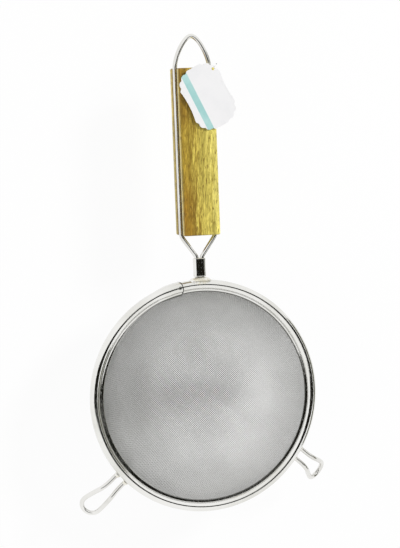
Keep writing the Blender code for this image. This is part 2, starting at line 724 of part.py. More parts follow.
def main():
    clear_scene()
    steel = make_material("polished_steel", (0.78, 0.78, 0.76), 0.12, 1.0)
    net = make_material("steel_net", (0.62, 0.62, 0.62), 0.3, 1.0)
    weld = make_material("weld_steel", (0.7, 0.68, 0.62), 0.35, 1.0)
    wood = make_material("varnished_wood", (0.72, 0.52, 0.2), 0.4, 0.0)
    card = make_material("white_card", (0.9, 0.9, 0.9), 0.6, 0.0)
    plastic = make_material("clear_plastic", (0.92, 0.95, 0.93), 0.2, 0.0)

    pieces = [
        build_rim(steel),
        build_bowl(net),
        build_handle_wire(steel),
        build_ferrule(steel),
        build_block(wood),
        build_handle_weld(add_cutter("rim_at_handle_cutter", rim_envelope(90.0)), weld),
        build_tag(card),
        build_tie(plastic),
    ]
    pieces += build_ear(
        "right", RIGHT_EAR_DEG, RIGHT_EAR_SKEW_DEG, RIGHT_EAR_BEND_DEG, RIGHT_EAR_STRAIGHT, steel, weld
    )
    pieces += build_ear("left", LEFT_EAR_DEG, LEFT_EAR_SKEW_DEG, LEFT_EAR_BEND_DEG, LEFT_EAR_STRAIGHT, steel, weld)
    shift, size = set_on_floor(pieces)
    print("size in mm", [round(value / MM, 2) for value in size])
    print("rim centre in mm", [round(value / MM, 3) for value in shift])
    print("tie pivot", [round(value, 5) for value in shift + bpy.data.objects["tag_tie"].location])
    print("tag pivot", [round(value, 5) for value in shift + bpy.data.objects["hang_tag"].location])


main()
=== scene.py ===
import math

import bpy
import numpy as np
from mathutils import Matrix, Vector


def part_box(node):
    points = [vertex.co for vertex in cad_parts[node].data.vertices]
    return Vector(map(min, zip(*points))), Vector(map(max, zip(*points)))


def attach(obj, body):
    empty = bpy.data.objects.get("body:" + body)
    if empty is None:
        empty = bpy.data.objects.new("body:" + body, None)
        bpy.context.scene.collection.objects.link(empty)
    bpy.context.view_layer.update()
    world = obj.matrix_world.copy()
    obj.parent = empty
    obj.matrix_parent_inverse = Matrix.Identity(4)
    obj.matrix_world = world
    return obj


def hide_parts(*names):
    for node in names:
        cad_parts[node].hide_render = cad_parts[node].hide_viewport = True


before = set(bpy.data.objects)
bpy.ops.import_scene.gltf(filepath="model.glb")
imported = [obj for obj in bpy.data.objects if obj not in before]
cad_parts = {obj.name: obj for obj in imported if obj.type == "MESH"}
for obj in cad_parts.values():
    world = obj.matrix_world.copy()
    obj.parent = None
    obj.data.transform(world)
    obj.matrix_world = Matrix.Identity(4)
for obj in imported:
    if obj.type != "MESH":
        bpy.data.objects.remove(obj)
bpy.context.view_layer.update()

mm = 0.001
sharpDeg = 50.0
print("stage: frame loaded,", len(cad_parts), "nodes")

# The rim's centre is the origin of every shape below: the bowl's axis, at the height of the handle wire
bowlLow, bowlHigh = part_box("mesh_bowl")
wireLow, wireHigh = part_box("handle_wire")
rimCentre = np.array([bowlLow.x + bowlHigh.x, bowlLow.y + bowlHigh.y, wireLow.z + wireHigh.z]) / 2


# Camera and light

view = {
    "place": (-501.0 * mm, 261.9 * mm, 1913.4 * mm),
    "right": (0.9659, -0.0378, 0.2561),
    "up": (0.0567, 0.9961, -0.0669),
    "lens": 101.67,
    "sensorHeight": 24.0,
    "clipEnd": 50.0,
}


def makeCamera():
    right = Vector(view["right"]).normalized()
    up = Vector(view["up"])
    up = (up - right * up.dot(right)).normalized()
    data = bpy.data.cameras.new("photoCamera")
    data.sensor_fit = "VERTICAL"
    data.sensor_height = view["sensorHeight"]
    data.lens = view["lens"]
    data.clip_end = view["clipEnd"]
    camera = bpy.data.objects.new("photoCamera", data)
    bpy.context.scene.collection.objects.link(camera)
    turn = Matrix((right, up, right.cross(up))).transposed().to_4x4()
    camera.matrix_world = Matrix.Translation(Vector(rimCentre) + Vector(view["place"])) @ turn
    bpy.context.scene.camera = camera


light = {
    "skyStrength": 0.56,
    "keyPower": 40.0,
    "keySize": 0.6,
    "keyPlace": (1.5, 1.1, 1.8),
    "fillPower": 14.0,
    "fillSize": 2.0,
    "fillPlace": (-1.9, -0.7, 1.7),
    "floorColor": (0.93, 0.93, 0.93),
    "floorGlow": 0.94,
    "floorHalf": 6.0,
}


def makeLight(name, place, size, power):
    data = bpy.data.lights.new(name, "AREA")
    data.shape = "DISK"
    data.size = size
    data.energy = power
    lamp = bpy.data.objects.new(name, data)
    bpy.context.scene.collection.objects.link(lamp)
    aim = Vector(rimCentre) - Vector(place)
    lamp.matrix_world = Matrix.Translation(place) @ aim.to_track_quat("-Z", "Y").to_matrix().to_4x4()
    lamp.visible_glossy = False


def addNode(tree, kind, settings=None, values=None, sources=None):
    # one node, its settings, its fixed socket values and what feeds its other sockets
    node = tree.nodes.new(kind)
    for key, value in (settings or {}).items():
        setattr(node, key, value)
    for key, value in (values or {}).items():
        node.inputs[key].default_value = value
    for key, socket in (sources or {}).items():
        tree.links.new(socket, node.inputs[key])
    return node


def mathNode(tree, operation, *given):
    # each thing given is a number or the socket that feeds the node
    node = addNode(tree, "ShaderNodeMath", {"operation": operation})
    for socket, value in zip(node.inputs, given):
        if isinstance(value, (int, float)):
            socket.default_value = value
        else:
            tree.links.new(value, socket)
    return node.outputs[0]


def bareMaterial(name):
    material = bpy.data.materials.new(name)
    material.use_nodes = True
    material.node_tree.nodes.clear()
    return material, material.node_tree


def seenRays(tree):
    # 1 where a camera, glossy or transmission ray looks, 0 for light that bounces off dull surfaces
    path = tree.nodes.new("ShaderNodeLightPath").outputs
    seen = mathNode(tree, "MAXIMUM", path["Is Camera Ray"], path["Is Glossy Ray"])
    return mathNode(tree, "MAXIMUM", seen, path["Is Transmission Ray"])


def makeSky():
    world = bpy.data.worlds.new("paleSky")
    bpy.context.scene.world = world
    world.use_nodes = True
    tree = world.node_tree
    tree.nodes.clear()
    sky = addNode(tree, "ShaderNodeBackground", values={"Strength": light["skyStrength"]})
    seen = addNode(tree, "ShaderNodeBackground", values={"Color": (1.0, 1.0, 1.0, 1.0)})
    shaders = {0: seenRays(tree), 1: sky.outputs[0], 2: seen.outputs[0]}
    mix = addNode(tree, "ShaderNodeMixShader", sources=shaders)
    addNode(tree, "ShaderNodeOutputWorld", sources={"Surface": mix.outputs[0]})


def stagePlate(name, corners, material):
    mesh = bpy.data.meshes.new(name)
    mesh.from_pydata([tuple(c) for c in corners], [], [tuple(range(len(corners)))])
    mesh.materials.append(material)
    plate = bpy.data.objects.new(name, mesh)
    bpy.context.scene.collection.objects.link(plate)
    return plate


def makeFloor():
    material, tree = bareMaterial("paleFloor")
    dull = addNode(tree, "ShaderNodeBsdfDiffuse", values={"Color": (*light["floorColor"], 1.0)})
    glow = addNode(tree, "ShaderNodeEmission")
    share = mathNode(tree, "MULTIPLY", seenRays(tree), light["floorGlow"])
    mix = addNode(tree, "ShaderNodeMixShader", sources={0: share, 1: dull.outputs[0], 2: glow.outputs[0]})
    addNode(tree, "ShaderNodeOutputMaterial", sources={"Surface": mix.outputs[0]})
    half = light["floorHalf"]
    stagePlate("floor", [(-half, -half, 0), (half, -half, 0), (half, half, 0), (-half, half, 0)], material)


makeCamera()
makeSky()
makeLight("keyLight", light["keyPlace"], light["keySize"], light["keyPower"])
makeLight("fillLight", light["fillPlace"], light["fillSize"], light["fillPower"])
makeFloor()
bpy.context.scene.view_settings.view_transform = "Standard"
print("stage: camera and light")


# Node groups and materials

def newGroup(name, inputs, outputs):
    group = bpy.data.node_groups.new(name, "ShaderNodeTree")
    for label, kind, value in inputs:
        socket = group.interface.new_socket(name=label, in_out="INPUT", socket_type=kind)
        if value is not None:
            socket.default_value = value
    for label, kind in outputs:
        group.interface.new_socket(name=label, in_out="OUTPUT", socket_type=kind)
    return group, group.nodes.new("NodeGroupInput"), group.nodes.new("NodeGroupOutput")


def stretched(tree, vector, scale):
    return addNode(tree, "ShaderNodeMapping", values={"Scale": scale}, sources={"Vector": vector}).outputs[0]


def noiseNode(tree, vector, scale, detail, roughness=0.5):
    values = {"Scale": scale, "Detail": detail, "Roughness": roughness}
    return addNode(tree, "ShaderNodeTexNoise", values=values, sources={"Vector": vector}).outputs[0]


def ramp(tree, value, low, high, toLow=0.0, toHigh=1.0, smooth=True):
    # value carried from low..high to toLow..toHigh, held beyond both ends
    settings = {"interpolation_type": "SMOOTHSTEP" if smooth else "LINEAR"}
    values = {"From Min": low, "From Max": high, "To Min": toLow, "To Max": toHigh}
    return addNode(tree, "ShaderNodeMapRange", settings, values, {"Value": value}).outputs[0]


def mixColor(tree, mask, first, second, blend="MIX"):
    node = tree.nodes.new("ShaderNodeMix")
    node.data_type = "RGBA"
    node.blend_type = blend
    if isinstance(mask, (int, float)):
        node.inputs[0].default_value = mask
    else:
        tree.links.new(mask, node.inputs[0])
    for index, color in ((6, first), (7, second)):
        if isinstance(color, tuple):
            node.inputs[index].default_value = (*color[:3], 1.0)
        else:
            tree.links.new(color, node.inputs[index])
    return node.outputs[2]


def makeSmudge():
    # Handling marks on polished metal: broad soft clouds and fine short scratches
    group, given, out = newGroup(
        "steelMarks",
        [("Vector", "NodeSocketVector", None), ("Amount", "NodeSocketFloat", 1.0)],
        [("Cloud", "NodeSocketFloat"), ("Scratch", "NodeSocketFloat")],
    )
    cloud = noiseNode(group, given.outputs[0], 28.0, 4.0)
    fine = stretched(group, given.outputs[0], (900.0, 260.0, 900.0))
    scratch = noiseNode(group, fine, 1.0, 3.0)
    for label, noise, low, high in (("Cloud", cloud, 0.35, 0.75), ("Scratch", scratch, 0.5, 0.75)):
        scaled = mathNode(group, "MULTIPLY", ramp(group, noise, low, high), given.outputs[1])
        group.links.new(scaled, out.inputs[label])
    return group


steelMarks = makeSmudge()


def newMaterial(name, values):
    material = bpy.data.materials.new(name)
    material.use_nodes = True
    shader = material.node_tree.nodes["Principled BSDF"]
    for key, value in values.items():
        shader.inputs[key].default_value = value
    place = material.node_tree.nodes.new("ShaderNodeTexCoord").outputs["Object"]
    return material, material.node_tree, shader, place


def addBump(tree, shader, height, distance, strength=1.0):
    values = {"Distance": distance, "Strength": strength}
    bump = addNode(tree, "ShaderNodeBump", values=values, sources={"Height": height})
    tree.links.new(bump.outputs[0], shader.inputs["Normal"])


steelLook = {
    "rim": {
        "bright": (0.86, 0.855, 0.83), "dark": (0.74, 0.735, 0.69),
        "roughness": (0.07, 0.17), "depth": 0.012 * mm,
    },
    "wire": {
        "bright": (0.84, 0.835, 0.81), "dark": (0.70, 0.69, 0.65),
        "roughness": (0.09, 0.2), "depth": 0.01 * mm,
    },
    "net": {
        "bright": (0.75, 0.75, 0.735), "dark": (0.66, 0.66, 0.645),
        "roughness": (0.28, 0.4), "depth": 0.004 * mm,
    },
    # colour of the painted shade
    "paintedShade": (0.035, 0.035, 0.025),
    "weld": (0.90, 0.89, 0.84),
    "weldTint": (0.80, 0.76, 0.62),
}


def makeSteel(name, look):
    # marks dull and darken the metal, and the piece's own attribute of painted shade darkens it further
    material, tree, shader, place = newMaterial(name, {"Metallic": 1.0})
    marks = addNode(tree, "ShaderNodeGroup", {"node_tree": steelMarks}, sources={"Vector": place})
    color = mixColor(tree, marks.outputs["Cloud"], look["bright"], look["dark"])
    paintedShade = addNode(tree, "ShaderNodeAttribute", {"attribute_name": "paintedShade"}).outputs["Fac"]
    color = mixColor(tree, paintedShade, color, steelLook["paintedShade"])
    tree.links.new(color, shader.inputs["Base Color"])
    both = addNode(tree, "ShaderNodeMath", {"operation": "ADD", "use_clamp": True},
                   sources={0: marks.outputs["Cloud"], 1: marks.outputs["Scratch"]})
    roughness = ramp(tree, both.outputs[0], 0.0, 1.0, *look["roughness"])
    tree.links.new(roughness, shader.inputs["Roughness"])
    addBump(tree, shader, marks.outputs["Scratch"], look["depth"])
    return material


rimSteel = makeSteel("rimSteel", steelLook["rim"])
wireSteel = makeSteel("wireSteel", steelLook["wire"])
netSteel = makeSteel("netSteel", steelLook["net"])


def makeWeldSteel():
    # Weld metal: rippled, dull in patches, with straw-coloured heat tint
    material, tree, shader, place = newMaterial("weldSteel", {"Metallic": 1.0})
    ripple = noiseNode(tree, place, 420.0, 2.0)
    tint = noiseNode(tree, place, 300.0, 2.0)
    color = mixColor(tree, ramp(tree, tint, 0.46, 0.66), steelLook["weld"], steelLook["weldTint"])
    tree.links.new(color, shader.inputs["Base Color"])
    tree.links.new(ramp(tree, ripple, 0.3, 0.7, 0.22, 0.5), shader.inputs["Roughness"])
    addBump(tree, shader, ripple, 0.2 * mm, 0.6)
    return material


weldSteel = makeWeldSteel()

woodLook = {
    "left": (0.53, 0.36, 0.045),
    "middle": (0.72, 0.585, 0.115),
    "right": (0.79, 0.68, 0.17),
    "brown": (0.31, 0.155, 0.015),
    "pore": (0.17, 0.095, 0.015),
    # painted light: the lighter colour of the side faces
    "side": (0.90, 0.73, 0.25),
    # painted shadow colour in the groove about the wire
    "groove": (0.02, 0.016, 0.01),
    "slantDeg": 3.5,
    "wander": 11.0 * mm,
    "streakReach": 16.0 * mm,
    "fibreReach": 12.0 * mm,
    "leftToMiddle": (-13.0 * mm, 2.0 * mm),
    "middleToRight": (4.0 * mm, 14.0 * mm),
    "brownSide": (1.0 * mm, -10.0 * mm),
    "brownFromLowEnd": (62.0 * mm, 22.0 * mm),
    "brownFromHighEnd": (62.0 * mm, 34.0 * mm),
    "brownLow": (0.12, 0.85),
    "brownAndTagShadowHigh": (0.0, 0.75),
    "paintedLightSides": (15.3 * mm, 15.9 * mm),
    "wireFromMiddle": 15.0 * mm,
    "grooveShade": (4.6 * mm, 3.0 * mm),
}


def makeWood():
    # Grain runs along Y, a little slanted and pushed across by a slow noise. Four noises stretched along it
    # make the figure, the streaks, the fibres and the short dark pores. The left side is browner toward
    # both ends, toward the tag's end partly as a painted shadow of the tag. The side faces are painted
    # lighter, as painted light, and the groove is darkened about the wire as a painted shadow.
    material, tree, shader, place = newMaterial(
        "varnishedWood", {"Coat Weight": 0.12, "Coat Roughness": 0.2, "Specular IOR Level": 0.3}
    )
    fromCentre = {"operation": "SUBTRACT"}
    place = addNode(tree, "ShaderNodeVectorMath", fromCentre, {1: tuple(rimCentre)}, {0: place}).outputs[0]
    slow = noiseNode(tree, stretched(tree, place, (30.0, 16.0, 20.0)), 1.0, 2.0)
    drift = mathNode(tree, "MULTIPLY_ADD", slow, woodLook["wander"], -0.5 * woodLook["wander"])
    push = addNode(tree, "ShaderNodeCombineXYZ", sources={0: drift}).outputs[0]
    slant = (0.0, 0.0, math.radians(woodLook["slantDeg"]))
    turned = addNode(tree, "ShaderNodeMapping", values={"Rotation": slant}, sources={"Vector": place})
    together = {0: turned.outputs[0], 1: push}
    grain = addNode(tree, "ShaderNodeVectorMath", {"operation": "ADD"}, sources=together).outputs[0]

    def grainNoise(scale, detail, roughness):
        return noiseNode(tree, stretched(tree, grain, scale), 1.0, detail, roughness)

    figure = grainNoise((130.0, 9.0, 90.0), 3.0, 0.5)
    streaks = grainNoise((420.0, 16.0, 300.0), 3.0, 0.6)
    fibres = grainNoise((900.0, 120.0, 800.0), 3.0, 0.65)
    pores = grainNoise((1050.0, 170.0, 1000.0), 2.0, 0.5)

    axis = addNode(tree, "ShaderNodeSeparateXYZ", sources={"Vector": place}).outputs
    across = mathNode(tree, "ADD", axis[0], drift)
    for noise, amount in ((streaks, woodLook["streakReach"]), (fibres, woodLook["fibreReach"])):
        ragged = ramp(tree, noise, 0.2, 0.8, -0.5 * amount, 0.5 * amount, False)
        across = mathNode(tree, "ADD", across, ragged)
    past = ramp(tree, across, *woodLook["leftToMiddle"])
    color = mixColor(tree, past, woodLook["left"], woodLook["middle"])
    color = mixColor(tree, ramp(tree, across, *woodLook["middleToRight"]), color, woodLook["right"])
    start, full = (blockPlace[0] + reach for reach in woodLook["brownFromLowEnd"])
    lower = ramp(tree, axis[1], start, full, *woodLook["brownLow"])
    # toward the tag's end the brown is partly a painted shadow of the tag
    start, full = (blockPlace[1] - reach for reach in woodLook["brownFromHighEnd"])
    upper = ramp(tree, axis[1], start, full, *woodLook["brownAndTagShadowHigh"])
    brown = ramp(tree, across, *woodLook["brownSide"])
    brown = mathNode(tree, "MULTIPLY", brown, mathNode(tree, "MAXIMUM", lower, upper))
    brown = mathNode(tree, "MULTIPLY", brown, ramp(tree, streaks, 0.30, 0.62, 0.45, 1.0))
    color = mixColor(tree, brown, color, woodLook["brown"])
    width = mathNode(tree, "ABSOLUTE", axis[0])
    # painted light: the side faces are coloured lighter
    color = mixColor(tree, ramp(tree, width, *woodLook["paintedLightSides"], 0.0, 0.85), color, woodLook["side"])
    for noise, low, high, least, most in (
        (figure, 0.32, 0.68, 0.80, 1.12), (streaks, 0.34, 0.66, 0.80, 1.12), (fibres, 0.34, 0.66, 0.70, 1.18),
    ):
        color = mixColor(tree, 1.0, color, ramp(tree, noise, low, high, least, most), "MULTIPLY")
    poreMask = ramp(tree, pores, 0.58, 0.67, 0.0, 0.8)
    color = mixColor(tree, poreMask, color, woodLook["pore"])
    # painted shadow: the groove is darkened about the wire
    fromWire = mathNode(tree, "SUBTRACT", width, woodLook["wireFromMiddle"])
    reach = addNode(tree, "ShaderNodeCombineXYZ", sources={0: fromWire, 1: axis[2]}).outputs[0]
    reach = addNode(tree, "ShaderNodeVectorMath", {"operation": "LENGTH"}, sources={0: reach})
    shadow = ramp(tree, reach.outputs["Value"], *woodLook["grooveShade"])
    color = mixColor(tree, shadow, color, woodLook["groove"])
    tree.links.new(color, shader.inputs["Base Color"])
    tree.links.new(ramp(tree, fibres, 0.3, 0.8, 0.38, 0.55), shader.inputs["Roughness"])
    addBump(tree, shader, mathNode(tree, "SUBTRACT", fibres, poreMask), 0.05 * mm)
    return material


blockLow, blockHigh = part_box("handle_block")
blockPlace = (blockLow.y - rimCentre[1], blockHigh.y - rimCentre[1])
varnishedWood = makeWood()


def makePlastic():
    material, tree, shader, place = newMaterial(
        "clearPlastic", {"Base Color": (0.98, 0.99, 0.98, 1.0), "Transmission Weight": 1.0, "IOR": 1.08}
    )
    haze = noiseNode(tree, place, 900.0, 2.0)
    tree.links.new(ramp(tree, haze, 0.3, 0.7, 0.0, 0.06), shader.inputs["Roughness"])
    return material


clearPlastic = makePlastic()

cardLook = {
    "white": (0.90, 0.895, 0.90),
    "grey": (0.84, 0.84, 0.85),
    "teal": (0.37, 0.65, 0.63),
    "tealPale": (0.50, 0.75, 0.73),
    "stripe": (-12.9, -7.3),
    "stripeEdge": 0.12,
}


def makeCard():
    # White coated card. The print follows the card's own UV map, in millimetres along and across it.
    material, tree, shader, place = newMaterial("whiteCard", {"Coat Weight": 0.15, "Coat Roughness": 0.3})
    card = addNode(tree, "ShaderNodeUVMap", {"uv_map": "cardPlace"}).outputs[0]
    axis = addNode(tree, "ShaderNodeSeparateXYZ", sources={"Vector": card}).outputs
    mottle = noiseNode(tree, place, 60.0, 3.0)
    fibre = noiseNode(tree, place, 2500.0, 3.0)
    color = mixColor(tree, ramp(tree, mottle, 0.45, 0.75, 0.0, 0.6), cardLook["white"], cardLook["grey"])
    low, high = cardLook["stripe"]
    edge = cardLook["stripeEdge"]
    rise = ramp(tree, axis[1], low - edge, low + edge)
    fall = ramp(tree, axis[1], high + edge, high - edge)
    shade = mixColor(tree, ramp(tree, mottle, 0.35, 0.65), cardLook["teal"], cardLook["tealPale"])
    color = mixColor(tree, mathNode(tree, "MULTIPLY", rise, fall), color, shade)
    tree.links.new(color, shader.inputs["Base Color"])
    tree.links.new(ramp(tree, fibre, 0.3, 0.7, 0.45, 0.6), shader.inputs["Roughness"])
    addBump(tree, shader, fibre, 0.01 * mm)
    return material


whiteCard = makeCard()
print("stage: materials")


# Mesh tools

def gridQuads(rows, cols, wrapRows=False):
    # quads between neighbours of a rows x cols grid of points, closed round its columns, or round both ways
    i = np.arange(rows if wrapRows else rows - 1)[:, None]
    j = np.arange(cols)[None, :]
    here, after, beside = i * cols, ((i + 1) % rows) * cols, (j + 1) % cols
    return np.stack([here + j, here + beside, after + beside, after + j], -1).reshape(-1, 4)


def closedEnds(count, sides):
    # one face over the first ring of a tube and one over its last
    return range(sides)[::-1], range((count - 1) * sides, count * sides)


def signedVolume(points, quads):
    # sum of the tetrahedra from the mean point to both triangles of every quad
    p = (points - points.mean(0))[quads]
    first = np.einsum("ij,ij->i", p[:, 0], np.cross(p[:, 1], p[:, 2]))
    second = np.einsum("ij,ij->i", p[:, 0], np.cross(p[:, 2], p[:, 3]))
    return (first + second).sum() / 6.0


def makePiece(name, points, quads, material, body, nodes, caps=(), uv=None, paintedShade=None):
    # mesh from arrays, faces turned outward by the sign of its volume, then put on its body
    points = points.reshape(-1, 3)
    flip = signedVolume(points, quads) < 0
    faces = (quads[:, ::-1] if flip else quads).tolist()
    faces += [list(cap)[::-1] if flip else list(cap) for cap in caps]
    mesh = bpy.data.meshes.new(name)
    mesh.from_pydata((points + rimCentre).tolist(), [], faces)
    mesh.update()
    mesh.shade_smooth()
    mesh.set_sharp_from_angle(angle=math.radians(sharpDeg))
    mesh.materials.append(material)
    if uv is not None:
        corner = np.empty(len(mesh.loops), np.int32)
        mesh.loops.foreach_get("vertex_index", corner)
        mesh.uv_layers.new(name="cardPlace").data.foreach_set("uv", uv[corner].ravel().astype(np.float32))
    # painted shade per point, kept as an attribute that the steel reads
    if paintedShade is not None:
        paintedDark = mesh.attributes.new("paintedShade", "FLOAT", "POINT")
        paintedDark.data.foreach_set("value", paintedShade.ravel().astype(np.float32))
    piece = bpy.data.objects.new(name, mesh)
    bpy.context.scene.collection.objects.link(piece)
    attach(piece, body)
    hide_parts(*nodes)


def unit(a):
    # each vector scaled to length 1
    return a / np.linalg.norm(a, axis=-1, keepdims=True)


def polar(radius, degrees, z=0.0):
    # the place at a radius and a bearing about the bowl's axis
    turn = np.radians(degrees)
    return np.array([radius * np.cos(turn), radius * np.sin(turn), z])


def arcLine(centre, radius, first, last, steps):
    # points of a circle from the first to the last angle at equal steps
    turn = np.radians(np.linspace(first, last, steps + 1))
    return np.stack([centre[0] + radius * np.cos(turn), centre[1] + radius * np.sin(turn)], 1)


def tubePoints(line, radius, up, sides, closed=False):
    # circle of the radius about each point of the line, square to it, measured from a fixed up direction
    if closed:
        along = unit(np.roll(line, -1, 0) - np.roll(line, 1, 0))
    else:
        along = unit(np.gradient(line, axis=0))
    side = unit(np.cross(along, up))
    top = np.cross(side, along)
    turn = np.linspace(0.0, 2 * np.pi, sides, endpoint=False)
    radius = np.broadcast_to(radius, len(line))[:, None, None]
    across, upward = np.cos(turn)[None, :, None] * side[:, None], np.sin(turn)[None, :, None] * top[:, None]
    return line[:, None] + radius * (across + upward)


wireEnd = {"reach": 0.35, "taper": 0.82}  # shares of the wire's radius


def roundedEnds(line, radius, steps=4):
    # adds a taper beyond the first and last point, for wire ends cut and deburred: its length grows by a sine
    # and its radius falls as that of an ellipse
    turn = np.linspace(0.0, 0.5 * np.pi, steps + 1)[1:]
    reach = wireEnd["reach"] * radius * np.sin(turn)
    keep = np.sqrt(1.0 - (wireEnd["taper"] * np.sin(turn)) ** 2)
    start, end = unit(line[0] - line[1]), unit(line[-1] - line[-2])
    whole = np.concatenate([(line[0] + start * reach[:, None])[::-1], line, line[-1] + end * reach[:, None]])
    radii = np.concatenate([radius * keep[::-1], np.full(len(line), radius), radius * keep])
    return whole, radii


def resample(line, spacing):
    # the same line with points at equal steps of its length
    length = np.concatenate([[0.0], np.cumsum(np.linalg.norm(np.diff(line, axis=0), axis=1))])
    steps = np.linspace(0.0, length[-1], int(round(length[-1] / spacing)) + 1)
    return np.stack([np.interp(steps, length, line[:, k]) for k in range(3)], 1)


def smoothed(line, rounds):
    # repeated averaging with both neighbours, ends held
    for _ in range(rounds):
        line[1:-1] = 0.25 * line[:-2] + 0.5 * line[1:-1] + 0.25 * line[2:]
    return line


def makeWire(name, line, radius, node, sides):
    # a round tube along the line, both ends tapered, on the strainer
    whole, radii = roundedEnds(line, radius)
    points = tubePoints(whole, radii, (0, 0, 1), sides)
    quads, caps = gridQuads(len(whole), sides), closedEnds(len(whole), sides)
    makePiece(name, points, quads, wireSteel, "strainer", [node], caps)


# Rim: one strip of sheet, rolled to a bead with a curl outside and a lip inside, its ends lapped

rim = {
    "outerRadius": 100.0 * mm,
    "beadWidth": 8.2 * mm,
    "beadSweepDeg": 160.0,
    "lipWidth": 1.85 * mm,
    "lipSlope": 0.35 * mm,
    "foldRadius": 0.4 * mm,
    "foldFoot": (92.0 * mm, -4.4 * mm),
    "leftExtra": 1.3 * mm,
    "leftDeg": 188.0,
    "leftSpreadDeg": 56.0,
    "height": 8.5 * mm,
    "sheet": 0.6 * mm,
    "curlRadius": 1.2 * mm,
    "noseDeg": 99.6,
    "overlapDeg": 7.0,
    "riseDeg": 9.0,
    "noseRoundingDeg": 2.6,
    "clearance": 0.3 * mm,
    "dimpleBackDeg": 1.7,
    "dimpleRadius": 1.0 * mm,
    "dimpleDepth": 0.55 * mm,
    # painted shade: the width of the dark line at the nose, and how dark the fold is made
    "noseShadeDeg": 0.5,
    "foldPaintedShade": 0.85,
    "stationsLap": 150,
    "stationsRound": 420,
    "stationsUnder": 60,
    "underShare": 0.97,
}
beadRadius = (rim["beadWidth"] - rim["sheet"]) / 2
beadCentre = rim["outerRadius"] - rim["sheet"] / 2 - beadRadius
beadHeight = rim["height"] / 2 - rim["sheet"] / 2 - beadRadius
innerLeg = beadCentre - beadRadius


def rimProfile():
    # middle line of the sheet in (radius, z): curl, bead, flat lip, then a fold back down to the mesh.
    # dark, the mask of painted shade on the fold, is 0 up to the lip's edge and 1 from there on. push is the
    # same, but falls back to 0 down the last leg.
    outer = beadCentre + beadRadius
    low = -rim["height"] / 2 + rim["sheet"] / 2 + rim["curlRadius"]
    curl = arcLine((outer - rim["curlRadius"], low), rim["curlRadius"], -150.0, 0.0, 10)
    bead = arcLine((beadCentre, beadHeight), beadRadius, 0.0, rim["beadSweepDeg"], 34)
    share = np.linspace(0.0, 1.0, 9)[1:]
    lip = bead[-1] - np.stack([rim["lipWidth"] * share, rim["lipSlope"] * share], 1)
    fold = arcLine(lip[-1] - (0.0, rim["foldRadius"]), rim["foldRadius"], 90.0, 190.0, 6)[1:]
    leg = fold[-1] + (np.array(rim["foldFoot"]) - fold[-1]) * np.linspace(0.0, 1.0, 8)[1:, None]
    line = np.concatenate([curl, bead, lip, fold, leg])
    dark = np.zeros(len(line))
    dark[-len(fold) - len(leg) - 1:] = 1.0
    dark[-len(fold) - len(leg) - 2] = 0.5
    push = dark.copy()
    push[-len(leg):] = np.linspace(1.0, 0.0, len(leg) + 1)[1:]
    return line, dark, push


def aroundEdges(values):
    # a value of each point of the sheet's line, carried to both faces and both edges of its outline
    return np.concatenate([values, np.repeat(values[-1:], 4), values[::-1], np.repeat(values[:1], 4)])


def sheetOutline(line, thickness):
    # closed outline: the line pushed half the thickness each way, with a half round at both edges
    along = unit(np.gradient(line, axis=0))
    out = np.stack([along[:, 1], -along[:, 0]], 1)
    turn = np.linspace(0.0, np.pi, 6)[1:-1, None]
    end = np.cos(turn) * out[-1] + np.sin(turn) * along[-1]
    start = np.cos(turn) * -out[0] - np.sin(turn) * along[0]
    base = np.concatenate([line, np.repeat(line[-1:], 4, 0), line[::-1], np.repeat(line[:1], 4, 0)])
    push = np.concatenate([out, end, -out[::-1], start])
    lift = np.concatenate([out, np.repeat(out[-1:], 4, 0), out[::-1], np.repeat(out[:1], 4, 0)])
    across = np.linspace(-1.0, 1.0, len(line))
    side = np.concatenate([across, np.ones(4), across[::-1], -np.ones(4)])
    return base + push * thickness / 2, lift, side


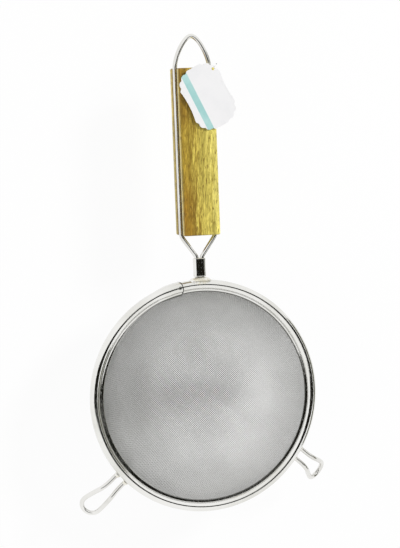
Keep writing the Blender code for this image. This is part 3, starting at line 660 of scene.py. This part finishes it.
def buildRim():
    # point(turn, v) = outline(v) + lift(turn) along the sheet's normal, carried round the bowl's axis.
    # lift is one sheet and a gap over the lap, then falls by a half cosine. The nose is rounded across the
    # sheet, and on the left the fold stands further in.
    line, dark, push = rimProfile()
    outline, liftWay, side = sheetOutline(line, rim["sheet"])
    dark, push = aroundEdges(dark), aroundEdges(push)
    lapEnd = rim["overlapDeg"] + rim["riseDeg"]
    lap = lapEnd * np.linspace(0.0, 1.0, rim["stationsLap"]) ** 1.4
    rest = np.linspace(lapEnd, 360.0, rim["stationsRound"])[1:]
    under = 360.0 + rim["overlapDeg"] * np.linspace(0.0, rim["underShare"], rim["stationsUnder"])[1:]
    turn = np.concatenate([lap, rest, under])
    share = np.clip((turn - rim["overlapDeg"]) / rim["riseDeg"], 0.0, 1.0)
    lift = (rim["sheet"] + rim["clearance"]) * (1.0 + np.cos(np.pi * share)) / 2
    fade = np.clip(1.0 - turn / rim["overlapDeg"], 0.0, 1.0)
    angle = rim["noseDeg"] + turn[:, None] + rim["noseRoundingDeg"] * fade[:, None] * side[None, :] ** 2
    onLeft = np.exp(-((((rim["noseDeg"] + turn) % 360.0 - rim["leftDeg"]) / rim["leftSpreadDeg"]) ** 4))
    widened = rim["leftExtra"] * onLeft
    radius = outline[:, 0] + lift[:, None] * liftWay[:, 0] - widened[:, None] * push
    z = outline[:, 1] + lift[:, None] * liftWay[:, 1]
    points = np.stack([radius * np.cos(np.radians(angle)), radius * np.sin(np.radians(angle)), z], -1)
    # spot weld: a round hollow pressed into the nose
    spot = polar(beadCentre, rim["noseDeg"] + rim["dimpleBackDeg"])
    away = np.hypot(points[..., 0] - spot[0], points[..., 1] - spot[1]) / rim["dimpleRadius"]
    onNose = (turn[:, None] < rim["overlapDeg"]) & (z > beadHeight)
    points[..., 2] -= np.where(onNose, rim["dimpleDepth"] * np.exp(-(away**2) * 1.4), 0.0)
    # painted shade: a dark line along the nose's edge, a dark ring in the spot weld's hollow, and the fold
    # and last leg darkened except on the left, a painted dark reflection
    noseShade = np.exp(-((turn / rim["noseShadeDeg"]) ** 4))
    dimpleShade = np.where(onNose, np.exp(-(((away - 0.4) / 0.6) ** 4)), 0.0)
    paintedShade = np.clip(noseShade[:, None] + rim["foldPaintedShade"] * dark * (1.0 - onLeft[:, None]) + dimpleShade, 0.0, 1.0)
    count, sides = len(turn), len(outline)
    makePiece("rimChannel", points, gridQuads(count, sides), rimSteel, "strainer",
              ["rim_hoop"], closedEnds(count, sides), paintedShade=paintedShade)


buildRim()
print("stage: rim")


# Bowl: plain-woven wire, two families of wires at 45 degrees to the handle

net = {
    "pitch": 1.37 * mm,
    "halfWidth": 0.25 * mm,
    "halfThick": 0.17 * mm,
    "rise": 0.18 * mm,
    "depth": 62.0 * mm,
    "skirtRadius": innerLeg + rim["sheet"] / 2 + rim["clearance"] + 0.45 * mm,  # a gap and half the cloth
    "skirtBottom": -rim["height"] / 2 - 0.4 * mm,
    "skirtHeight": 3.3 * mm,
    "turnDeg": 45.0,
    "wander": 0.02 * mm,
    # painted shade: how dark the level middle of the cloth is made, and over what radius
    "paintedDark": 0.64,
    "paintedDarkRadius": 66.0 * mm,
    "mostWires": 200,
}
ballRadius = (net["skirtRadius"] ** 2 + net["depth"] ** 2) / (2 * net["depth"])
wallLength = ballRadius * math.asin(net["skirtRadius"] / ballRadius)


def bowlSurface(a, b):
    # a, b are lengths on the flat cloth. Length from its middle becomes the same length down the ball's wall,
    # and past the wall's edge it runs straight up inside the rim. Returns the place and the inward normal.
    length = np.hypot(a, b)
    turn = np.arctan2(b, a) + math.radians(net["turnDeg"])
    slope = np.minimum(length, wallLength) / ballRadius
    radius = ballRadius * np.sin(slope)
    above = np.maximum(length - wallLength, 0.0)
    z = net["skirtBottom"] - net["depth"] + ballRadius * (1.0 - np.cos(slope)) + above
    lean = np.where(above > 0.0, 0.5 * np.pi, slope)
    place = np.stack([radius * np.cos(turn), radius * np.sin(turn), z], -1)
    normal = np.stack([-np.sin(lean) * np.cos(turn), -np.sin(lean) * np.sin(turn), np.cos(lean)], -1)
    return place, normal


def wovenWires(first, last, flip):
    # wires number first..last of one family. At crossing (i, j) a wire rides over or under the other family
    # by its rise, by the parity of i + j. Every wire is a four-sided closed tube.
    reach = wallLength + net["skirtHeight"]
    half = int(reach / net["pitch"])
    number = np.arange(-half, half + 1)
    own = number[(number >= first) & (number < last)]
    i, j = np.meshgrid(own, number, indexing="ij")
    offset = i * net["pitch"]
    end = np.sqrt(np.maximum(reach**2 - offset**2, 0.0))
    along = j * net["pitch"]
    keep = (np.abs(along) < end + net["pitch"]) & (end > 3 * net["pitch"])
    along = np.clip(along, -end, end)
    over = np.where((i + j) % 2 == 0, 1.0, -1.0) * (-1.0 if flip else 1.0)
    # no wire lies quite straight: two sines of its number and of the place along it push it aside
    drift = net["wander"] * (np.sin(i * 1.7 + along * 37.0) + np.sin(i * 0.61 - along * 61.0))
    offset = offset + drift
    a, b = (along, offset) if flip else (offset, along)
    place, normal = bowlSurface(a, b)
    step = 0.2 * net["pitch"]
    nextPlace = bowlSurface(a + step, b)[0] if flip else bowlSurface(a, b + step)[0]
    tangent = unit(nextPlace - place)
    side = unit(np.cross(tangent, normal))
    centre = place + normal * (over * net["rise"])[..., None]
    wide, thick = net["halfWidth"] * np.array([1, -1, -1, 1]), net["halfThick"] * np.array([1, 1, -1, -1])
    ring = centre[..., None, :] + wide[:, None] * side[..., None, :] + thick[:, None] * normal[..., None, :]
    index = np.full(keep.shape, -1)
    index[keep] = np.arange(keep.sum())
    points = ring[keep].reshape(-1, 3)
    joined = keep[:, :-1] & keep[:, 1:]
    here, after = index[:, :-1][joined], index[:, 1:][joined]
    k = np.arange(4)[None, :]
    quads = np.stack([here[:, None] * 4 + k, here[:, None] * 4 + (k + 1) % 4,
                      after[:, None] * 4 + (k + 1) % 4, after[:, None] * 4 + k], -1).reshape(-1, 4)
    begins = keep & ~np.pad(keep, ((0, 0), (1, 0)))[:, :-1]
    ends = keep & ~np.pad(keep, ((0, 0), (0, 1)))[:, 1:]
    startCaps = index[begins][:, None] * 4 + np.array([3, 2, 1, 0])
    endCaps = index[ends][:, None] * 4 + np.array([0, 1, 2, 3])
    return points, np.concatenate([quads, startCaps, endCaps])


def buildBowl():
    # each family is two pieces, so that none is too heavy
    most = net["mostWires"]
    for name, first, last, flip in (
        ("netWarpLeft", -most, 0, False), ("netWarpRight", 0, most, False),
        ("netWeftLower", -most, 0, True), ("netWeftUpper", 0, most, True),
    ):
        points, quads = wovenWires(first, last, flip)
        # painted shade: the level middle of the cloth is coloured darker
        middle = np.hypot(points[:, 0], points[:, 1]) / net["paintedDarkRadius"]
        makePiece(name, points, quads, netSteel, "strainer", ["mesh_bowl"],
                  paintedShade=net["paintedDark"] * np.exp(-(middle**3)))
        print("net", name, len(quads) * 2, "triangles")


buildBowl()
print("stage: bowl")


# Handle wire: one hairpin, ends side by side at the rim, its bend left free as the hanging loop

handle = {
    "wireRadius": 2.0 * mm,
    "spacing": 30.0 * mm,
    "endGap": 0.5 * mm,
    "pairOffset": 2.15 * mm,
    "ferruleStart": 103.0 * mm,
    "ferruleLength": 15.6 * mm,
    "neckLength": 20.0 * mm,
    "blockLength": 142.0 * mm,
    "loopHeight": 27.0 * mm,
    "loopShoulder": 10.0 * mm,
    "loopCrown": 5.5 * mm,
    "ferruleBend": 6.0 * mm,
    "neckBend": 7.0 * mm,
    "straightEnd": 1.0 * mm,
}
ferruleEnd = handle["ferruleStart"] + handle["ferruleLength"]
blockStart = ferruleEnd + handle["neckLength"]
blockEnd = blockStart + handle["blockLength"]


def turnedCorner(before, corner, after, radius, steps=14):
    # arc of the radius that touches both straight runs of a corner
    inward, outward = unit(before - corner), unit(after - corner)
    half = 0.5 * math.acos(float(np.clip(inward @ outward, -1.0, 1.0)))
    centre = corner + unit(inward + outward) * (radius / math.sin(half))
    start = unit(corner + inward * radius / math.tan(half) - centre)
    end = unit(corner + outward * radius / math.tan(half) - centre)
    whole = math.acos(float(np.clip(start @ end, -1.0, 1.0)))
    share = np.linspace(0.0, 1.0, steps + 1)[:, None]
    blend = np.sin((1 - share) * whole) * start + np.sin(share * whole) * end
    return centre + radius * blend / math.sin(whole)


def buildHandleWire():
    # right half: straight runs joined by turned corners, then one cubic Bezier curve up to the crown;
    # the left half is its mirror
    half = handle["spacing"] / 2
    foot = np.array([handle["pairOffset"], rim["outerRadius"] + handle["endGap"], 0.0])
    low = np.array([handle["pairOffset"], ferruleEnd + handle["straightEnd"], 0.0])
    high = np.array([half, blockStart - handle["straightEnd"], 0.0])
    shoulder = np.array([half, blockEnd, 0.0])
    crown = np.array([0.0, blockEnd + handle["loopHeight"], 0.0])
    t = np.linspace(0.0, 1.0, 40)[:, None]
    s = 1.0 - t
    lift = shoulder + np.array([0.0, handle["loopShoulder"], 0.0])
    flank = crown + np.array([handle["loopCrown"], 0.0, 0.0])
    loop = s**3 * shoulder + 3 * s * s * t * lift + 3 * s * t * t * flank + t**3 * crown
    right = np.concatenate([
        foot[None], turnedCorner(foot, low, high, handle["ferruleBend"]),
        turnedCorner(low, high, shoulder, handle["neckBend"]), loop,
    ])
    left = right[:-1][::-1] * np.array([-1.0, 1.0, 1.0])
    line = smoothed(resample(np.concatenate([right, left]), 1.2 * mm), 2)
    makeWire("handleWire", line, handle["wireRadius"], "handle_wire", 28)


buildHandleWire()


# Ferrule: a sleeve pressed oval round both wires

ferrule = {"sheet": 1.2 * mm, "edge": 0.5 * mm, "gap": 0.3 * mm, "waist": 0.18 * mm, "ease": 3.0, "sides": 96}


def buildFerrule():
    # ring(u, v): a circle swelled by the profile of the wall at v, its left and right halves set apart by the
    # two wires' offset, which eases in over the flats
    innerHeight = handle["wireRadius"] + ferrule["gap"]
    shift = handle["pairOffset"]
    wall = ferrule["sheet"]
    edge = ferrule["edge"]
    start, end = handle["ferruleStart"], ferruleEnd
    rounded = arcLine((wall - edge, edge), edge, -90.0, 0.0, 6)
    outside = [(x, start + y) for x, y in rounded]
    middle = np.linspace(start + edge, end - edge, 12)[1:-1]
    drawn = ferrule["waist"] * np.sin(np.pi * (middle - start) / (end - start)) ** 2
    outside += list(zip(wall - drawn, middle))
    outside += [(x, end - y) for x, y in rounded[::-1]]
    profile = np.array([(0.0, start)] + outside + [(0.0, end)])
    turn = np.linspace(0.0, 2 * np.pi, ferrule["sides"], endpoint=False)
    swell = innerHeight + profile[:, 0][:, None]
    apart = np.sign(np.cos(turn)) * np.minimum(np.abs(np.cos(turn)) * ferrule["ease"], 1.0)
    x = shift * apart + swell * np.cos(turn)
    z = swell * np.sin(turn)
    y = np.broadcast_to(profile[:, 1][:, None], x.shape)
    points = np.stack([x, y, z], -1)
    makePiece("ferruleSleeve", points, gridQuads(len(profile), ferrule["sides"], wrapRows=True), rimSteel,
              "strainer", ["ferrule"])


buildFerrule()
print("stage: handle wire and ferrule")


# Handle block: a squared wooden bar with a flared, round-bottomed groove along each side

block = {
    "width": 32.0 * mm,
    "thickness": 30.0 * mm,
    "corner": 2.3 * mm,
    "groove": 2.3 * mm,
    "lip": 9.5 * mm,
    "lipRounding": 0.3 * mm,
    "end": 1.4 * mm,
}


def blockOutline(inset):
    # right half: bottom corner arc, groove with its walls touching the arc about the wire, top corner arc;
    # the left half is its mirror
    halfWidth, halfHeight = block["width"] / 2 - inset, block["thickness"] / 2 - inset
    corner, groove = block["corner"], block["groove"] + inset
    bottom = arcLine((halfWidth - corner, -halfHeight + corner), corner, -90.0, 0.0, 10)
    middle, lip = handle["spacing"] / 2, block["lip"] + inset
    away = halfWidth - middle
    touch = math.degrees(math.atan2(lip, away) + math.acos(groove / math.hypot(lip, away)))
    soft = block["lipRounding"]
    wallLow = np.array([
        [halfWidth, -lip - soft], [halfWidth - 0.2 * soft, -lip], [halfWidth - 0.8 * soft, -lip + soft],
    ])
    inner = arcLine((middle, 0.0), groove, 360.0 - touch, touch, 16)
    top = arcLine((halfWidth - corner, halfHeight - corner), corner, 0.0, 90.0, 10)
    right = np.concatenate([bottom, wallLow, inner, wallLow[::-1] * (1, -1), top])
    return np.concatenate([right, right[::-1] * (-1, 1)])


def buildBlock():
    # section(v) moved along Y. Both ends are turned in by a quarter round.
    steps = np.linspace(0.0, 0.5 * np.pi, 7)
    ends = block["end"]
    insets = np.concatenate([ends * (1 - np.sin(steps)), np.zeros(30), ends * (1 - np.sin(steps))[::-1]])
    first = blockStart + ends * (1 - np.cos(steps))
    last = blockEnd - ends * (1 - np.cos(steps))[::-1]
    middle = np.linspace(blockStart + ends, blockEnd - ends, 32)[1:-1]
    along = np.concatenate([first, middle, last])
    sections = np.stack([blockOutline(inset) for inset in insets])
    y = np.broadcast_to(along[:, None], sections.shape[:2])
    points = np.stack([sections[..., 0], y, sections[..., 1]], -1)
    count, sides = sections.shape[:2]
    makePiece("handleBlock", points, gridQuads(count, sides), varnishedWood, "strainer",
              ["handle_block"], closedEnds(count, sides))


buildBlock()
print("stage: block")


# Rest ears: keyhole loops of wire, bent down about a round bar

ears = {
    "wireRadius": 2.0 * mm,
    "length": 48.5 * mm,
    "legSpacing": 9.6 * mm,
    "legStraight": 11.5 * mm,
    "endRadius": 8.2 * mm,
    "bendRadius": 8.0 * mm,
    "footInside": 4.5 * mm,
    "footZ": -rim["height"] / 2 - rim["clearance"] - 2.0 * mm,  # the wire's radius and a gap under the rim
    "left": {"deg": 221.7, "skew": 0.0, "bend": 29.7, "straight": 19.9 * mm},
    "right": {"deg": 326.3, "skew": -8.3, "bend": 51.2, "straight": 17.2 * mm},
}


def earLine(which):
    # flat keyhole (along, across), then along is wound down a bar: out = straight + R sin, down = R (1 - cos)
    half = ears["legSpacing"] / 2
    flare = ears["length"] - ears["endRadius"]
    share = np.linspace(0.0, 1.0, 24)
    along = np.concatenate([[0.0], ears["legStraight"] + (flare - ears["legStraight"]) * share])
    across = np.concatenate([[half], half + (ears["endRadius"] - half) * share**2 * (3 - 2 * share)])
    turn = np.radians(np.linspace(90.0, -90.0, 40))[1:-1]
    along = np.concatenate([along, flare + ears["endRadius"] * np.cos(turn), along[::-1]])
    across = np.concatenate([across, ears["endRadius"] * np.sin(turn), -across[::-1]])
    flat = resample(np.stack([along, across, np.zeros(len(along))], 1), 0.8 * mm)
    along, across = flat[:, 0], flat[:, 1]
    bend = math.radians(which["bend"])
    turned = np.clip((along - which["straight"]) / ears["bendRadius"], 0.0, bend)
    after = np.maximum(along - which["straight"] - ears["bendRadius"] * bend, 0.0)
    out = np.minimum(along, which["straight"]) + ears["bendRadius"] * np.sin(turned) + after * math.cos(bend)
    down = ears["bendRadius"] * (1 - np.cos(turned)) + after * math.sin(bend)
    foot = polar(rim["outerRadius"] - ears["footInside"], which["deg"], ears["footZ"])
    outward = polar(1.0, which["deg"] + which["skew"])
    sideways = polar(1.0, which["deg"] + which["skew"] + 90.0)
    downward = np.array([0.0, 0.0, -1.0])
    return foot + out[:, None] * outward + across[:, None] * sideways + down[:, None] * downward


for side in ("left", "right"):
    makeWire(side + "RestEar", smoothed(earLine(ears[side]), 3), ears["wireRadius"], side + "_rest_ear", 24)
print("stage: ears")


# Welds keep their solids, with the weld metal's finish

earWelds = [f"{side}_ear_{leg}_weld" for side in ("right", "left") for leg in ("lower", "upper")]
for node in ["handle_weld"] + earWelds:
    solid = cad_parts[node]
    solid.data.materials.clear()
    solid.data.materials.append(weldSteel)


# Hang tag: card with scalloped corners, slightly curled, its hole over the wire's right leg

tag = {
    "length": 55.0 * mm,
    "width": 38.6 * mm,
    "card": 0.6 * mm,
    "corner": 13.0 * mm,
    "outerNotch": (10.8 * mm, 1.9 * mm),
    "middleNotch": 5.2 * mm,
    "bulge": 1.55 * mm,
    "turnDeg": -64.0,
    "lift": 3.0 * mm,
    "holeRadius": 1.3 * mm,
    "holeFromEnd": 9.0 * mm,
    "holeFromSide": 4.3 * mm,
    "holeBelowEnd": 1.6 * mm,
    "holeInside": 1.5 * mm,
    "curl": 0.4 * mm,
    "droop": 1.9 * mm,
    "waist": 1.3 * mm,
    "rings": 18,
}
tagHole = np.array([
    handle["spacing"] / 2 - tag["holeInside"],
    blockEnd - tag["holeBelowEnd"],
    block["thickness"] / 2 + tag["lift"],
])


def lobe(start, end, steps=10):
    # chord from notch to notch with a parabola's bulge toward the corner
    share = np.linspace(0.0, 1.0, steps + 1)[:, None]
    start, end = np.array(start), np.array(end)
    chord = unit(end - start)
    outward = np.array([-chord[1], chord[0]])
    return start + (end - start) * share + outward * tag["bulge"] * 4 * share * (1 - share)


def tagOutline():
    # one corner as two lobes between its notches, set at each corner of the card in turn
    near, far = tag["outerNotch"], tag["outerNotch"][::-1]
    middle = (tag["middleNotch"], tag["middleNotch"])
    corner = np.concatenate([
        [(tag["corner"], 0.0)], lobe(near, middle), lobe(middle, far)[1:], [(0.0, tag["corner"])],
    ])
    halves = np.array([tag["length"] / 2, tag["width"] / 2])
    parts = []
    for signs in ((1, 1), (-1, 1), (-1, -1), (1, -1)):
        places = (halves - corner) * np.array(signs)
        parts.append(places if signs[0] * signs[1] < 0 else places[::-1])
    return np.concatenate(parts)


def buildTag():
    # ring k of the card's face is the outline drawn toward the hole's edge by share k; the back is the same
    # ring set down by the card's thickness. Away from the hole the card droops, and curls up by a parabola
    # across its width.
    outline = tagOutline()
    outline = np.column_stack([outline, np.zeros(len(outline))])
    outline = resample(np.concatenate([outline, outline[:1]]), 0.25 * mm)[:-1, :2]
    # both long edges are drawn in by a parabola
    inside = np.clip(1.0 - (outline[:, 0] / (tag["length"] / 2 - tag["corner"])) ** 2, 0.0, None)
    outline[:, 1] -= np.sign(outline[:, 1]) * tag["waist"] * inside
    hole = np.array([-(tag["length"] / 2 - tag["holeFromEnd"]), tag["width"] / 2 - tag["holeFromSide"]])
    bearing = np.arctan2(outline[:, 1] - hole[1], outline[:, 0] - hole[0])
    edge = hole + tag["holeRadius"] * np.stack([np.cos(bearing), np.sin(bearing)], 1)
    share = np.linspace(0.0, 1.0, tag["rings"])[:, None, None]
    face = outline + (edge - outline) * share
    flat = np.concatenate([face, face[::-1]])
    height = np.concatenate([np.full(face.shape[:2], tag["card"]), np.zeros(face.shape[:2])])
    away = (flat[..., 1] / (tag["width"] / 2)) ** 2
    far = np.clip((flat[..., 0] - hole[0]) / tag["length"], 0.0, 1.0)
    height = height + (tag["curl"] * away - tag["droop"]) * far
    turn = math.radians(tag["turnDeg"])
    u, v = flat[..., 0] - hole[0], flat[..., 1] - hole[1]
    x, y = u * math.cos(turn) - v * math.sin(turn), u * math.sin(turn) + v * math.cos(turn)
    points = np.stack([x, y, height], -1) + tagHole
    quads = gridQuads(len(flat), len(outline), wrapRows=True)
    uv = flat.reshape(-1, 2) / mm
    makePiece("hangTag", points, quads, whiteCard, "tag", ["hang_tag"], uv=uv)


buildTag()


# Tie: a clear plastic loop round the wire and through the card

tie = {
    "radius": 0.4 * mm,
    "reach": 4.8 * mm,
    "reachDeg": 115.0,
    "aboveEnd": 3.0 * mm,
    "slack": 0.3 * mm,
    "sag": 0.2 * mm,
    "belowCard": 0.8 * mm,
    "shift": 0.5 * mm,
    "gap": 0.3 * mm,
    "sides": 12,
    "up": (0.82, -0.47, 0.33),  # along no part of the loop, so the tube doesn't twist
}


def buildTie():
    # closed line through chosen places by Catmull and Rom's rule, the same places as the solid's
    hole = tagHole
    pivot = np.array([handle["spacing"] / 2, blockEnd + tie["aboveEnd"], 0.0])
    ring = handle["wireRadius"] + tie["gap"] + tie["radius"] + tie["slack"]
    cardTop = hole[2] + tag["card"]
    over = cardTop + tie["gap"] + tie["radius"] + tie["slack"] + tie["sag"]
    blockTop = block["thickness"] / 2
    under = (blockTop + hole[2]) / 2 - tie["sag"]
    outside = hole + polar(tie["reach"], tag["turnDeg"] + tie["reachDeg"])
    places = np.array([
        pivot + (0, 0, -ring), pivot + (ring, 0, 0), pivot + (ring, 0, blockTop / 2),
        (outside[0] + tie["slack"], outside[1] + tie["slack"], hole[2] - tie["belowCard"]),
        (outside[0], outside[1], cardTop),
        ((outside[0] + hole[0]) / 2, (outside[1] + hole[1]) / 2, over),
        (hole[0], hole[1], hole[2] + tag["card"] / 2),
        (hole[0] - tie["shift"], blockEnd - tie["sag"], under),
        pivot + (-0.8 * ring, 0, 0.7 * blockTop), pivot + (-ring, 0, 0),
    ])
    t = np.linspace(0.0, 1.0, 12, endpoint=False)[None, :, None]
    a, b, c, d = (np.roll(places, -k, 0)[:, None] for k in (-1, 0, 1, 2))
    line = 0.5 * (2 * b + (c - a) * t + (2 * a - 5 * b + 4 * c - d) * t**2 + (3 * b - a - 3 * c + d) * t**3)
    line = line.reshape(-1, 3)
    points = tubePoints(line, tie["radius"], tie["up"], tie["sides"], closed=True)
    quads = gridQuads(len(line), tie["sides"], wrapRows=True)
    makePiece("tagTie", points, quads, clearPlastic, "tie", ["tag_tie"])


buildTie()
print("stage: tag and tie")


# Studio panels, metres away: a dark ceiling strip and a dim wall beyond its end. Only reflections see them.

studio = {
    "black": (0.012, 0.012, 0.009),
    "dim": (0.15, 0.15, 0.115),
    "stripX": (-1.7, 2.1),
    "stripY": (-0.5, 0.45),
    "height": 2.2,
    "wallX": 2.5,
    "wallY": (-1.4, 1.1),
    "wallTop": 2.0,
}


def makePanel(name, tone, corners):
    material, tree = bareMaterial(name)
    glow = addNode(tree, "ShaderNodeEmission", values={"Color": (*studio[tone], 1.0)})
    addNode(tree, "ShaderNodeOutputMaterial", sources={"Surface": glow.outputs[0]})
    panel = stagePlate(name, [rimCentre + np.array(c) for c in corners], material)
    panel.visible_camera = False
    panel.visible_diffuse = False
    panel.visible_transmission = False
    panel.visible_shadow = False


def makeStudio():
    (left, right), (front, back), top = studio["stripX"], studio["stripY"], studio["height"]
    ceiling = [(left, front, top), (right, front, top), (right, back, top), (left, back, top)]
    makePanel("ceilingStrip", "black", ceiling)
    far, (front, back), top = studio["wallX"], studio["wallY"], studio["wallTop"]
    makePanel("farWall", "dim", [(far, front, 0.0), (far, back, 0.0), (far, back, top), (far, front, top)])


makeStudio()
print("stage: studio panels")
